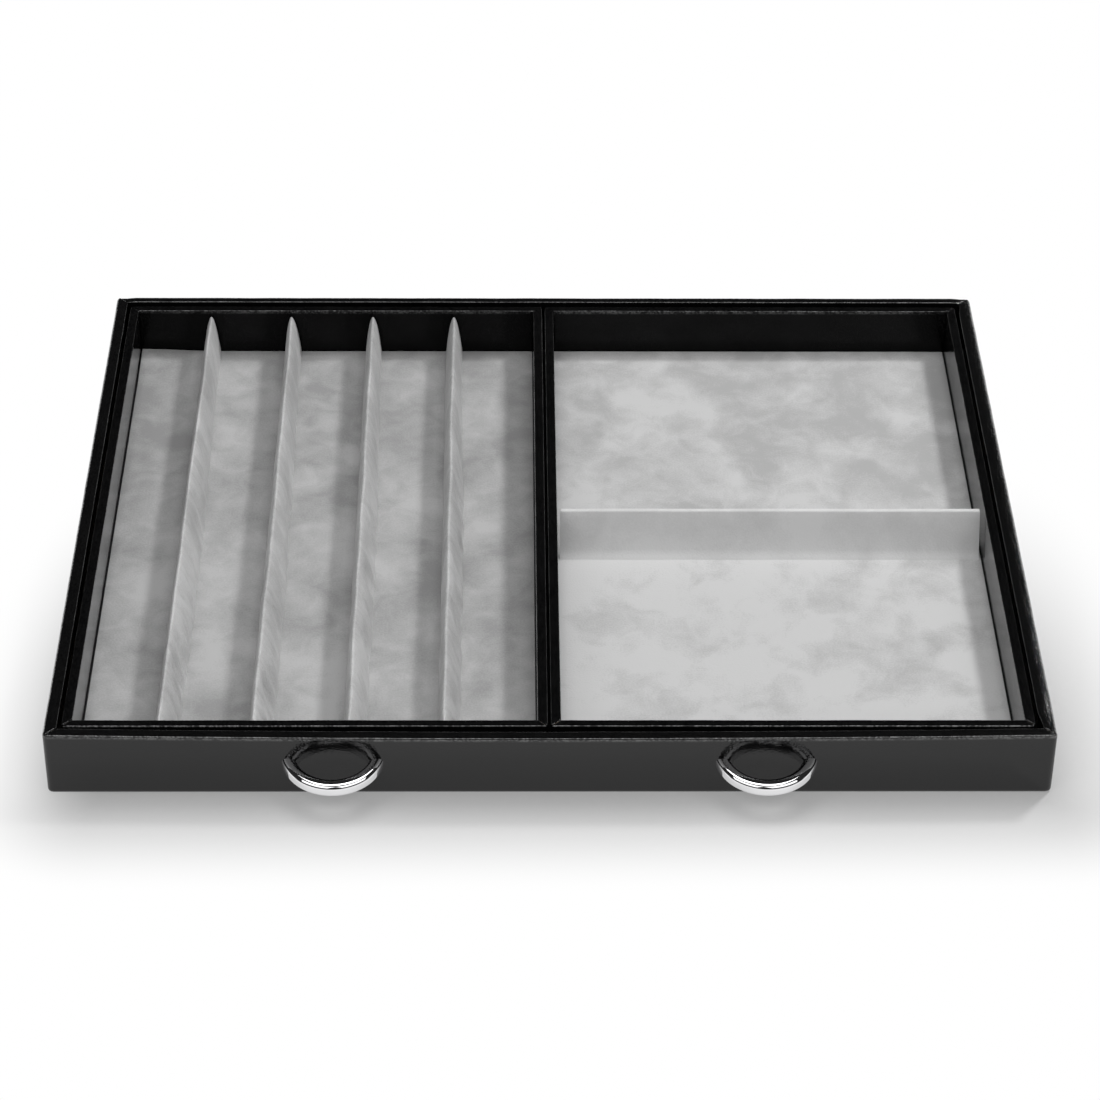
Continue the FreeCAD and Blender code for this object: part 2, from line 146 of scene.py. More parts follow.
fibreboard = Finish("fibreboard")
flecks = fibreboard.cloud(0.0016, detail=6)
patches = fibreboard.cloud(0.02, detail=2)
fibreboard.surface({
    "Base Color": fibreboard.mixed(fibreboard.spread(flecks * 0.7 + patches * 0.3, 0, 1),
                                   BOARD_BROWN, BOARD_PALE),
    "Roughness": fibreboard.spread(flecks, 0.75, 0.9),
    "Normal": fibreboard.bump(flecks, 0.0001),
})
tray_bases = ["left_tray_base_board", "right_tray_base_board"]
dress([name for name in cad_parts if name.endswith("_board") and name not in tray_bases],
      fibreboard.material)

# Card blades. Stiff grey card stands inside each soft fin and inside the cross divider, and is seen
# only on the end of a cut. It is pressed from mixed paper, so it is speckled light and dark.
CARD_LIGHT = (0.45, 0.44, 0.42, 1)
CARD_DARK = (0.28, 0.27, 0.26, 1)

greycard = Finish("grey card")
speckle = greycard.cloud(0.0008, detail=4)
greycard.surface({
    "Base Color": greycard.mixed(greycard.spread(speckle, 0, 1), CARD_DARK, CARD_LIGHT),
    "Roughness": greycard.spread(speckle, 0.8, 0.92),
    "Normal": greycard.bump(speckle, 0.00004),
})
dress([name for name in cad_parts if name.endswith("_card")], greycard.material)

# Leatherette of the case. One strip of black coated cloth covers each wall: up the outside, over
# the padded rim and down the inside, with a hem under the base. The corners are folded to a mitre
# and rounded by the pull of the cloth, and the back rim rides a little over the side rims.
MM = 0.001
DRAWER_WIDTH = 350
DRAWER_DEPTH = 280
DRAWER_HEIGHT = 26
DRAWER_WALL = 4.7
DRAWER_RIM = 1.1
DRAWER_CORNER = 2.2
DRAWER_BASE = 2.4
DRAWER_HEM = 4.4
CLOTH = 0.7
FOOT_ROUND = 1.2
MITRE_ROUND = 0.22
# The outer and the inner rounding of each rim.
RIM_ROUNDS = {"front": (0.6, 0.4), "right": (1.8, 0.4), "back": (1.7, 0.4), "left": (1.4, 0.4)}
FRONT_BOW = 1.9
RIM_LEAN = 0.55
RIM_PLUMP = 1.0
PLUMP_LEVELS = (16, 23)
PLUMP_ENDS = (14, 5)
BACK_RIM_LIFT = 0.35
LAP_ENDS = (5.4, 4.7)
CLOTH_GRID = 2.5
CORNER_ROWS = (0.4, 0.9, 1.5, 2.2, 3.2, 4.4)
TOLERANCE = 1e-4
SKIN_BLACK = (0.0010, 0.0010, 0.0011, 1)
SKIN_WORN = (0.0040, 0.0040, 0.0042, 1)
PEBBLES_PER_METRE = 1250
# The cloth of the right rim is pulled tight from here outward, so its grain stands out.
STRETCHED_FROM = (171, 172)


def ease(value, start, end):
    """A smooth step from 0 at start to 1 at end."""
    step = min(max((value - start) / (end - start), 0), 1)
    return step * step * (3 - 2 * step)


def short_of_ends(x, length, start, end):
    """1 along a wall, easing to 0 between two distances from its ends."""
    return 1 - ease(abs(x), length / 2 - start, length / 2 - end)


def along(mesh, *places):
    """The lengthwise edges of a strip that run through the given points of its section."""
    found = []
    for edge in mesh.edges:
        first, second = (vert.co for vert in edge.verts)
        if (first - second).yz.length < TOLERANCE:
            found += [edge for y, z in places if abs(first.y - y) + abs(first.z - z) < TOLERANCE]
    return found


def round_off(mesh, edges, size, steps):
    bmesh.ops.bevel(mesh, geom=edges, offset=size, segments=steps, affect="EDGES", profile=0.5,
                    material=-1)


def divide(mesh, least, cuts):
    """Divide the edges that have at least the given length, so that they can follow a curve."""
    runs = [edge for edge in mesh.edges if edge.calc_length() > least - TOLERANCE]
    bmesh.ops.subdivide_edges(mesh, edges=runs, cuts=cuts, use_grid_fill=True)


def all_of(mesh):
    return mesh.verts[:] + mesh.edges[:] + mesh.faces[:]


def finish_piece(name, mesh, material, sharp=40):
    """Turn a shape worked in millimetres into a piece, smooth but for its sharp edges."""
    bmesh.ops.recalc_face_normals(mesh, faces=mesh.faces)
    for face in mesh.faces:
        face.smooth = True
    for edge in mesh.edges:
        edge.smooth = edge.is_manifold and edge.calc_face_angle() < math.radians(sharp)
    bmesh.ops.scale(mesh, vec=(MM, MM, MM), verts=mesh.verts)
    data = bpy.data.meshes.new(name)
    mesh.to_mesh(data)
    mesh.free()
    data.materials.append(material)
    piece = bpy.data.objects.new(name, data)
    bpy.context.scene.collection.objects.link(piece)
    return piece


def drawn_out(outline, travel):
    """A solid drawn out from a flat outline, with its start face kept."""
    mesh = bmesh.new()
    start = mesh.faces.new([mesh.verts.new(point) for point in outline])
    grown = bmesh.ops.extrude_face_region(mesh, geom=[start], use_keep_orig=True)["geom"]
    far = [item for item in grown if isinstance(item, bmesh.types.BMVert)]
    bmesh.ops.translate(mesh, vec=travel, verts=far)
    return mesh


def lengthwise(section, length):
    """A bar along X of the given section, worked from points across and up."""
    return drawn_out([(-length / 2, y, z) for y, z in section], (length, 0, 0))


def mitre(mesh, length):
    """Saw both ends of a wall at 45 degrees and close them; give the sawn edges."""
    sawn = []
    for end in (-1, 1):
        cut = bmesh.ops.bisect_plane(mesh, geom=all_of(mesh), dist=TOLERANCE, clear_outer=True,
                                     plane_co=(end * length / 2, 0, 0), plane_no=(end, 1, 0))
        rims = [item for item in cut["geom_cut"] if isinstance(item, bmesh.types.BMEdge)]
        bmesh.ops.contextual_create(mesh, geom=rims)
        sawn += rims
    return sawn


def leather_strip(length, wall, height, rim, rounds, corner, base, hem):
    """A wrapped wall along X, its outer face at Y = 0: folded section, mitred and rounded ends."""
    inside, top = wall - CLOTH, height - CLOTH
    # The points part way up the flat faces give rows in which the cloth can lie unevenly.
    section = [
        (0, 0), (hem, 0), (hem, CLOTH), (CLOTH, CLOTH), (CLOTH, top), (inside, top),
        (inside, CLOTH + base), (wall, CLOTH + base), (wall, height * 0.6), (wall, height - 2),
        (wall, height), (wall / 2, height), (0, height), (0, height - 2.4),
        (0, height * 0.7), (0, height * 0.45), (0, height * 0.2), (0, 2),
    ]
    mesh = lengthwise(section, length)
    outer, inner = rounds
    round_off(mesh, along(mesh, (0, height)), outer, 7)
    round_off(mesh, along(mesh, (wall, height)), inner, 6)
    round_off(mesh, along(mesh, (CLOTH, top), (inside, top)), rim - CLOTH, 3)
    round_off(mesh, along(mesh, (0, 0)), FOOT_ROUND, 4)
    divide(mesh, length, cuts=round(length / CLOTH_GRID))
    for back in CORNER_ROWS:
        for end in (-1, 1):
            bmesh.ops.bisect_plane(mesh, geom=all_of(mesh), dist=TOLERANCE,
                                   plane_co=(end * (length / 2 - back), 0, 0), plane_no=(1, 0, 0))
    sawn = mitre(mesh, length)
    seams = [edge for edge in sawn if min(v.co.z for v in edge.verts) > height * 0.2]
    round_off(mesh, seams, MITRE_ROUND, 2)
    for vert in mesh.verts:
        for end in (-1, 1):
            across = end * vert.co.x - (length / 2 - corner)
            out = corner - vert.co.y
            if across > 0 and out > 0:
                pull = max(across, out) / math.hypot(across, out)
                vert.co.x = end * (length / 2 - corner + across * pull)
                vert.co.y = corner - out * pull
    return mesh


def unevenness(x, y, z):
    """Smooth unevenness, from about -1 to 1, that comes and goes over a length of 1."""
    return noise.noise(Vector((x, y, z)))


def bow(mesh, length, height, outward):
    """Lean the middle of a wall outward, as a glued-up board bows."""
    for vert in mesh.verts:
        middle = max(1 - (2 * vert.co.x / length) ** 2, 0)
        vert.co.y -= outward * middle * max(vert.co.z, 0) / height


def slacken(mesh, seed, amount, size):
    """Let the cloth lie a little unevenly over its board, more at the rim than at the foot."""
    mesh.normal_update()
    for vert in mesh.verts:
        spot = vert.co / size
        out = unevenness(spot.x + seed * 7.3, spot.y, spot.z) * amount * ease(vert.co.z, 1, 6)
        vert.co += vert.normal * out


def stand(mesh, turn, x, y, z):
    """Turn a wall about Z and stand it in its place."""
    bmesh.ops.rotate(mesh, verts=mesh.verts, matrix=Matrix.Rotation(math.radians(turn), 3, "Z"))
    bmesh.ops.translate(mesh, vec=(x, y, z), verts=mesh.verts)


def four_walls(width, depth, x=0, y=0):
    """For each side of a case: its name, length, place and turn."""
    return [
        ("front", width, x, y - depth / 2, 0),
        ("right", depth, x + width / 2, y, 90),
        ("back", width, x, y + depth / 2, 180),
        ("left", depth, x - width / 2, y, 270),
    ]


def leatherette(name, gloss, polish, rim):
    """Black coated cloth with a pebble grain, deeper and beaded with gloss along the rim."""
    finish = Finish(name)
    pebble = finish.node("TexVoronoi", {"feature": "SMOOTH_F1"}, {
        "Vector": finish.place(), "Scale": PEBBLES_PER_METRE, "Smoothness": 0.6})
    grain = pebble * 0.75 + finish.cloud(0.0005, detail=2) * 0.25
    rub = finish.cloud(0.05, detail=4)
    on_rim = finish.spread(finish.along_axis(2), 0, 1, (rim - 1.6) * MM, (rim - 0.8) * MM)
    from_x, to_x = (x * MM for x in STRETCHED_FROM)
    stretched = on_rim * finish.spread(finish.along_axis(0), 0, 1, from_x, to_x)
    beads = finish.spread(pebble * 0.5 + finish.cloud(0.004, detail=4) * 0.5, 1, 0.1, 0.35, 0.6)
    aslant = finish.spread(finish.node("LayerWeight", output=1), 0, 0.5, 0.7, 0.9)
    return finish.surface({
        "Base Color": finish.mixed(finish.spread(grain * 0.6 + rub * 0.4, 0, 1),
                                   SKIN_WORN, SKIN_BLACK),
        "Roughness": finish.spread(rub + grain * 0.4, *polish, 0.5, 0.9),
        "Normal": finish.bump(grain * (stretched * 0.25 + on_rim * 0.2 + 0.1), 0.0004),
        "IOR": gloss,
        "Coat Weight": (on_rim * beads).at_least(aslant),
        "Coat Roughness": 0.1,
        "Coat IOR": 1.9,
    })


case_leatherette = leatherette("black leatherette of the case", gloss=1.5, polish=(0.1, 0.14),
                               rim=DRAWER_HEIGHT)

for side, wall_length, wall_x, wall_y, turn in four_walls(DRAWER_WIDTH, DRAWER_DEPTH):
    skin = leather_strip(wall_length, DRAWER_WALL, DRAWER_HEIGHT, DRAWER_RIM, RIM_ROUNDS[side],
                         DRAWER_CORNER, DRAWER_BASE, DRAWER_HEM)
    slacken(skin, seed=turn, amount=0.1, size=14)
    for point in skin.verts:
        rise = (max(point.co.z, 0) / DRAWER_HEIGHT) ** 3
        inner = point.co.y / DRAWER_WALL
        if side == "front":
            point.co.y -= RIM_LEAN * rise * inner
        if side == "right":
            ends = short_of_ends(point.co.x, wall_length, *PLUMP_ENDS)
            point.co.y += RIM_PLUMP * ends * ease(point.co.z, *PLUMP_LEVELS) * inner
        if side == "back":
            lap = short_of_ends(point.co.x, wall_length, *LAP_ENDS)
            point.co.z += BACK_RIM_LIFT * lap * rise
            point.co.y += RIM_LEAN * rise * (1 - inner)
    if side == "front":
        bow(skin, wall_length, DRAWER_HEIGHT, FRONT_BOW)
    stand(skin, turn, wall_x, wall_y, 0)
    wrap = finish_piece(f"drawer_{side}_leatherette", skin, case_leatherette)
    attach(wrap, "drawer")
    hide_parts(f"drawer_{side}_wrap")

# Front board. It is sawn from the same fibreboard as the other walls, and its middle leans outward
# under its leatherette, so it takes the place of the straight one.
BOARD_INSIDE = DRAWER_WALL - CLOTH
BOARD_TOP = DRAWER_HEIGHT - CLOTH

plank = lengthwise([
    (CLOTH, CLOTH), (BOARD_INSIDE, CLOTH), (BOARD_INSIDE, 8), (BOARD_INSIDE, 16),
    (BOARD_INSIDE, BOARD_TOP), (CLOTH, BOARD_TOP), (CLOTH, 16), (CLOTH, 8),
], DRAWER_WIDTH)
round_off(plank, along(plank, (CLOTH, BOARD_TOP), (BOARD_INSIDE, BOARD_TOP)), DRAWER_RIM - CLOTH, 3)
divide(plank, DRAWER_WIDTH, cuts=60)
mitre(plank, DRAWER_WIDTH)
bow(plank, DRAWER_WIDTH, DRAWER_HEIGHT, FRONT_BOW)
stand(plank, 0, 0, -DRAWER_DEPTH / 2, 0)
front_board = finish_piece("drawer_front_fibreboard", plank, fibreboard.material)
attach(front_board, "drawer")
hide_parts("drawer_front_board")

# Leatherette of the two trays. The trays are wrapped as the case is, in thinner work, with a
# narrower rim and tighter corners. Each stands loose in the case with a little play.
TRAY_WIDTH = 168.1
TRAY_DEPTH = 267.3
TRAY_HEIGHT = 22
TRAY_WALL = 3.6
TRAY_RIM = 1.0
TRAY_RIM_ROUNDS = (0.6, 0.35)
TRAY_CORNER = 1.6
TRAY_BASE = 1.3
TRAY_HEM = 3.3
TRAY_LEVEL = 3.6
TRAY_GAP = 0.9
TRAY_X = {"left": -TRAY_WIDTH / 2 - TRAY_GAP, "right": TRAY_WIDTH / 2}
TRAY_Y = -0.35

tray_leatherette = leatherette("black leatherette of the trays", gloss=1.22, polish=(0.1, 0.16),
                               rim=TRAY_LEVEL + TRAY_HEIGHT)
for tray, tray_x in TRAY_X.items():
    walls = four_walls(TRAY_WIDTH, TRAY_DEPTH, tray_x, TRAY_Y)
    for side, wall_length, wall_x, wall_y, turn in walls:
        skin = leather_strip(wall_length, TRAY_WALL, TRAY_HEIGHT, TRAY_RIM, TRAY_RIM_ROUNDS,
                             TRAY_CORNER, TRAY_BASE, TRAY_HEM)
        slacken(skin, seed=turn + tray_x, amount=0.1, size=11)
        if side == "front":
            for point in skin.verts:
                point.co.y -= RIM_LEAN * (max(point.co.z, 0) / TRAY_HEIGHT) ** 3
        stand(skin, turn, wall_x, wall_y, TRAY_LEVEL)
        wrap = finish_piece(f"{tray}_tray_{side}_leatherette", skin, tray_leatherette)
        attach(wrap, f"{tray}_tray")
        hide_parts(f"{tray}_tray_{side}_wrap")

# Lining and undersides. A thin black paper-backed cloth lines the floor of the case under the
# trays, faces the trays' base boards and closes the undersides inside the hems. It is matt, with
# a short weave.
LINING_BLACK = (0.012, 0.012, 0.013, 1)
LINING_GREY = (0.030, 0.030, 0.032, 1)
WEAVE_SCALE = 380

lining = Finish("black lining")
warp, weft = (lining.node("TexWave", {"bands_direction": axis}, {
    "Vector": lining.place(), "Scale": WEAVE_SCALE, "Distortion": 0.6}) for axis in ("X", "Y"))
weave = warp * 0.5 + weft * 0.5
lining.surface({
    "Base Color": lining.mixed(weave, LINING_BLACK, LINING_GREY),
    "Roughness": lining.spread(lining.cloud(0.03), 0.7, 0.85),
    "Normal": lining.bump(weave, 0.00003),
})
dress(["drawer_lining", "drawer_underside", "left_tray_underside", "right_tray_underside",
       *tray_bases], lining.material)

# Velour floor pads. A pale grey velour is glued over a thin card and dropped into each tray, with
# a gap at the walls. Its short nap lies in drifts that the light picks out as soft clouds. The back
# left corner of the left pad has come unstuck and curls up.
PAD_LEVEL = TRAY_LEVEL + CLOTH + TRAY_BASE
PAD_THICK = 0.7
PAD_SIDE_GAP = 0.45
PAD_END_GAP = 0.4
PAD_ROUND = 0.15
PAD_WAVES = 22
CURL_HEIGHT = 1.0
CURL_ACROSS = (45, 80)
CURL_BACKWARD = (105, 130)
# Both pads are the same velour; the left one is given darker greys as painted shade, for the fins
# that stand in it.
VELOUR_LIGHT_LEFT_SHADED = {"left": 0.49, "right": 0.60}
VELOUR_DARK_LEFT_SHADED = {"left": 0.31, "right": 0.43}
VELOUR_RAMP = {"left": (0.4, 0.6), "right": (0.39, 0.55)}


def grey(level):
    return (level, level, level, 1)


def velour(name, light, dark, ramp=(0.4, 0.6), strokes_along=(1, 1, 1), relief=0.00015):
    """Short-napped velour whose pile leans this way and that in clouds and strokes, with painted
    light towards the front and painted shade towards the back.
    """
    finish = Finish(name)
    drifts = finish.cloud(0.030, detail=4, distortion=0.3)
    strokes = finish.cloud(0.012, detail=5, stretch=strokes_along, distortion=0.7)
    nap = finish.cloud(0.0007, detail=3)
    # The term along Y paints the velour lighter towards the front and darker towards the back:
    # painted light and shade.
    pile_and_painted_light = drifts * 0.5 + strokes * 0.3 + nap * 0.2 - finish.along_axis(1) * 0.35
    return finish.surface({
        "Base Color": finish.mixed(finish.spread(pile_and_painted_light, 0, 1, *ramp), grey(dark), grey(light)),
        "Roughness": finish.spread(drifts, 0.82, 0.95),
        "Normal": finish.bump(nap * 0.6 + strokes, relief),
        "Sheen Weight": 0.25,
        "Sheen Roughness": 0.5,
        "Specular IOR Level": 0.2,
    })


for tray, tray_x in TRAY_X.items():
    tray_velour = velour(f"grey velour of the {tray} tray", VELOUR_LIGHT_LEFT_SHADED[tray], VELOUR_DARK_LEFT_SHADED[tray],
                         ramp=VELOUR_RAMP[tray])
    pad_width = TRAY_WIDTH - 2 * (TRAY_WALL + PAD_SIDE_GAP)
    pad_depth = TRAY_DEPTH - 2 * (TRAY_WALL + PAD_END_GAP)
    pad = bmesh.new()
    bmesh.ops.create_cube(pad, size=1)
    bmesh.ops.scale(pad, verts=pad.verts, vec=(pad_width, pad_depth, PAD_THICK))
    top_edges = [edge for edge in pad.edges if min(v.co.z for v in edge.verts) > 0]
    round_off(pad, top_edges, PAD_ROUND, 2)
    divide(pad, least=100, cuts=60)
    for point in pad.verts:
        if point.co.z > 0:
            spot = point.co / PAD_WAVES
            point.co.z += 0.08 * unevenness(spot.x + tray_x, spot.y, spot.z)
        if tray == "left":
            curl = ease(-point.co.x, *CURL_ACROSS) * ease(point.co.y, *CURL_BACKWARD)
            point.co.z += CURL_HEIGHT * curl
    bmesh.ops.translate(pad, verts=pad.verts, vec=(tray_x, TRAY_Y, PAD_LEVEL + PAD_THICK / 2))
    cushion = finish_piece(f"{tray}_tray_velour_floor", pad, tray_velour)
    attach(cushion, f"{tray}_tray")
    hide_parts(f"{tray}_tray_floor_pad")

# Velour fins. Each fin is a blade of card in a soft sleeve of the same velour, pinched to a round
# crest, and glued down by its foot. The sleeve is a loose fit, most of all at the front and on its
# right flank, so it is creased aslant there and its crest wanders.
FIN_COUNT = 4
FIN_PITCH = 33
FIRST_FIN_X = -135.9
FIN_END_GAP = 0.3
FIN_LENGTH = TRAY_DEPTH - 2 * (TRAY_WALL + FIN_END_GAP)
FIN_HEIGHT = 17.5
FLOOR_LEVEL = PAD_LEVEL + PAD_THICK
FIN_SECTION = (
    (3.9, 0), (3.6, 2), (3.3, 5), (2.9, 8), (2.4, 11), (1.75, 14), (1.1, 16), (0.5, 17.2),
)
CREASE_SPACING = 11
CREASE_SLANT = 0.2
CREASE_SHARPNESS = 3.2
CREASE_DEPTH = 1.17
FOLD_SPACING = 34
FOLD_DEPTH = 0.65
WANDER_SPACING = 32
CREST_WANDER = 0.5
CREST_RIPPLE = 0.25
LEFT_FLANK_SLACK = 0.35
BACK_SLACK = 0.15
BACK_WIDTH = 0.87
FOOT_SHIFT = 1.2

fin_velour = velour("grey velour of the fins", 0.60, 0.42, strokes_along=(1, 2.4, 0.7),
                    relief=0.0006)
for number in range(1, FIN_COUNT + 1):
    fin_x = FIRST_FIN_X + (number - 1) * FIN_PITCH
    outline = [*FIN_SECTION, (0, FIN_HEIGHT), *((-x, z) for x, z in reversed(FIN_SECTION))]
    sleeve = drawn_out([(x, -FIN_LENGTH / 2, z) for x, z in outline], (0, FIN_LENGTH, 0))
    divide(sleeve, FIN_LENGTH, cuts=150)
    for point in sleeve.verts:
        flank = math.copysign(1, point.co.x) if abs(point.co.x) > 0.1 else 0
        rise = point.co.z / FIN_HEIGHT
        slant = (point.co.y - CREASE_SLANT * point.co.z) / CREASE_SPACING
        ridge = abs(unevenness(slant, number * 5.1, flank * 3.7 + rise * 0.8))
        crease = CREASE_DEPTH * (1 - CREASE_SHARPNESS * ridge)
        fold = FOLD_DEPTH * unevenness(point.co.y / FOLD_SPACING, number * 3.3, flank * 9)
        nearer = ease(-point.co.y / FIN_LENGTH, -0.45, 0.1)
        loose = BACK_SLACK + (1 - BACK_SLACK) * nearer
        if flank <= 0:
            loose *= LEFT_FLANK_SLACK
        swell = (crease + fold) * loose * math.sin(math.pi * min(rise + 0.1, 1))
        wander = CREST_WANDER * unevenness(point.co.y / WANDER_SPACING, number * 8.7, 0)
        point.co.x *= BACK_WIDTH + (1 - BACK_WIDTH) * nearer
        point.co.x += flank * swell + wander * rise ** 2 + FOOT_SHIFT * (1 - rise) * nearer
        if rise > 0.9:
            point.co.z += CREST_RIPPLE * unevenness(point.co.y / 26, number * 2.9, 4)
    bmesh.ops.translate(sleeve, verts=sleeve.verts, vec=(fin_x, TRAY_Y, FLOOR_LEVEL))
    fin = finish_piece(f"fin_{number}_velour", sleeve, fin_velour, sharp=60)
    creases = fin.data.attributes.new("crease_edge", "FLOAT", "EDGE")
    for edge in fin.data.edges:
        heights = [fin.data.vertices[v].co.z for v in edge.vertices]
        creases.data[edge.index].value = max(heights) < (FLOOR_LEVEL + 0.1) * MM
    rounding = fin.modifiers.new("rounding", "SUBSURF")
    rounding.levels = rounding.render_levels = 1
    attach(fin, "left_tray")
    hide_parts(f"fin_{number}_sleeve")

# Cross divider. A card with velour folded over it, standing across the right tray. It leans back a
# little, its top edge is a tight fold, and the velour at its foot runs out onto the floor.
DIVIDER_END_GAP = 1.2
DIVIDER_LENGTH = TRAY_WIDTH - 2 * (TRAY_WALL + DIVIDER_END_GAP)
DIVIDER_HEIGHT = 16.5
DIVIDER_LEAN = 7.5
DIVIDER_THICK = 1.8
DIVIDER_FOOT = 1.6
DIVIDER_WAVER = 0.25
DIVIDER_ROUND = 0.45
DIVIDER_ROWS = (0.4, 0.9, 1.5, 2.2, 3.0, 6.0, 10.0, 13.0)
DIVIDER_Y = -11.2
BLADE_THICK = 1.0
BLADE_SHORT = 0.5

# The divider is the same velour as the floor and the fins, given paler greys as painted light on
# its face, which the lamps reach less.
divider_velour = velour("grey velour of the divider", 0.72, 0.62)
folded = bmesh.new()
bmesh.ops.create_cube(folded, size=1)
bmesh.ops.scale(folded, verts=folded.verts, vec=(DIVIDER_LENGTH, DIVIDER_THICK, DIVIDER_HEIGHT))
bmesh.ops.translate(folded, verts=folded.verts, vec=(0, 0, DIVIDER_HEIGHT / 2))
crest = [edge for edge in folded.edges if min(v.co.z for v in edge.verts) > 1]
round_off(folded, crest, DIVIDER_ROUND, 3)
divide(folded, least=100, cuts=60)
for level in DIVIDER_ROWS:
    bmesh.ops.bisect_plane(folded, geom=all_of(folded), dist=TOLERANCE, plane_co=(0, 0, level),
                           plane_no=(0, 0, 1))
for point in folded.verts:
    waver = DIVIDER_WAVER * unevenness(point.co.x / 38, 2.2, point.co.z / 30)
    if point.co.y < 0:
        point.co.y -= (1 - ease(point.co.z, -1.5, 3)) * DIVIDER_FOOT
    point.co.y += (waver + DIVIDER_LEAN) * point.co.z / DIVIDER_HEIGHT
bmesh.ops.translate(folded, verts=folded.verts, vec=(TRAY_X["right"], DIVIDER_Y, FLOOR_LEVEL))
divider = finish_piece("divider_velour", folded, divider_velour, sharp=60)
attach(divider, "right_tray")
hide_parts("divider_sleeve")

blade_height = DIVIDER_HEIGHT - BLADE_SHORT
blade = bmesh.new()
bmesh.ops.create_cube(blade, size=1)
bmesh.ops.scale(blade, verts=blade.verts, vec=(DIVIDER_LENGTH - 1, BLADE_THICK, blade_height))
for point in blade.verts:
    point.co.y += DIVIDER_LEAN * (point.co.z + DIVIDER_HEIGHT / 2) / DIVIDER_HEIGHT
bmesh.ops.translate(blade, verts=blade.verts,
                    vec=(TRAY_X["right"], DIVIDER_Y, FLOOR_LEVEL + blade_height / 2))
card = finish_piece("divider_greycard", blade, greycard.material)
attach(card, "right_tray")
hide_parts("divider_card")

# Ring pulls. Each is half a ring of round-edged brass bar, polished and chromed, which stands out
# from the front on two flat legs and droops a little. A countersunk screw from inside the front
# holds each leg.
PULL_SPACING = 150
PULL_OFFSET = -0.3
PULL_LEVEL = 14.5
PULL_CENTRE = -136.4
PULL_DROOP = 6
PULL_RADIUS = 15.7
PULL_OVERRUN = 0.3
PULL_STEPS = 110
LEG_SUNK = 0.4
BAR_WIDTH = 5.0
BAR_HEIGHT = 5.0
BAR_ROUND = 1.8

chrome = Finish("polished chrome")
polish = chrome.cloud(0.012, detail=1)
scuffs = chrome.cloud(0.0012, detail=4, stretch=(1, 1, 3))
chrome.surface({
    "Base Color": chrome.mixed(chrome.spread(polish, 0, 1), (0.80, 0.80, 0.81, 1),
                               (0.87, 0.87, 0.88, 1)),
    "Metallic": 1.0,
    "Roughness": chrome.spread(polish * 0.5 + scuffs * 0.5, 0.02, 0.06),
    "Normal": chrome.bump(polish, 0.000004),
})

for side, way in (("left", -1), ("right", 1)):
    pull_x = way * PULL_SPACING / 2 + PULL_OFFSET
    bar = bmesh.new()
    corners = [(-1, -1), (1, -1), (1, 1), (-1, 1)]
    outline = bar.faces.new([bar.verts.new((PULL_RADIUS + x * BAR_WIDTH / 2, 0, z * BAR_HEIGHT / 2))
                             for x, z in corners])
    bmesh.ops.bevel(bar, geom=outline.verts[:], offset=BAR_ROUND, segments=8, affect="VERTICES",
                    profile=0.5, material=-1)
    bmesh.ops.rotate(bar, verts=bar.verts, matrix=Matrix.Rotation(PULL_OVERRUN, 3, "Z"))
    bmesh.ops.spin(bar, geom=all_of(bar), axis=(0, 0, 1), angle=-math.pi - 2 * PULL_OVERRUN,
                   steps=PULL_STEPS, use_merge=False)
    bmesh.ops.remove_doubles(bar, verts=bar.verts, dist=TOLERANCE)
    bmesh.ops.rotate(bar, verts=bar.verts, matrix=Matrix.Rotation(math.radians(PULL_DROOP), 3, "X"))
    bmesh.ops.translate(bar, verts=bar.verts, vec=(pull_x, PULL_CENTRE, PULL_LEVEL))
    cut = bmesh.ops.bisect_plane(bar, geom=all_of(bar), dist=TOLERANCE, clear_outer=True,
                                 plane_co=(0, -DRAWER_DEPTH / 2 + LEG_SUNK, 0),
                                 plane_no=(0, 1, 0))
    ends = [item for item in cut["geom_cut"] if isinstance(item, bmesh.types.BMEdge)]
    bmesh.ops.holes_fill(bar, edges=ends)
    pull = finish_piece(f"ring_pull_{side}_chrome", bar, chrome.material)
    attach(pull, "drawer")
    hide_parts(f"ring_pull_{side}")

# Pull screws. Four countersunk screws of bright zinc-plated steel, turned, with a slot across each
# head. They hold the pulls from inside the front and are hidden in it.
zinc = Finish("zinc-plated steel")
turning = zinc.cloud(0.0004, detail=2, stretch=(1, 6, 1))
zinc.surface({
    "Base Color": zinc.mixed(turning, (0.45, 0.46, 0.48, 1), (0.62, 0.63, 0.65, 1)),
    "Metallic": 1.0,
    "Roughness": zinc.spread(turning, 0.22, 0.4),
    "Normal": zinc.bump(turning, 0.00001),
})
dress(["pull_screws"], zinc.material)

# Table. The drawer stands on a plain white table that runs out of sight. It is matt and takes the
# shadows near the drawer, and is evenly bright further off. Its matt colour is a mid grey, and a
# painted glow makes it white. The glow is weak near the drawer, where it lightens the shadow, and
# grows with the distance from it. In the leatherette and the pulls the table shows brighter still
# near the drawer, as a painted reflection.
TABLE_SIZE = 60
SHADE_MIDDLE = 0.0085
SHADE_SIDE = 0.166
SHADE_FRONT = -0.145
SHADE_BACK = -0.11
SHADE_FADE = (-0.004, 0.046)
SIDE_PACE = 0.87
BACK_PACE = 0.27
MIRROR_BASE = 0.47
MIRROR_GAIN = 0.45

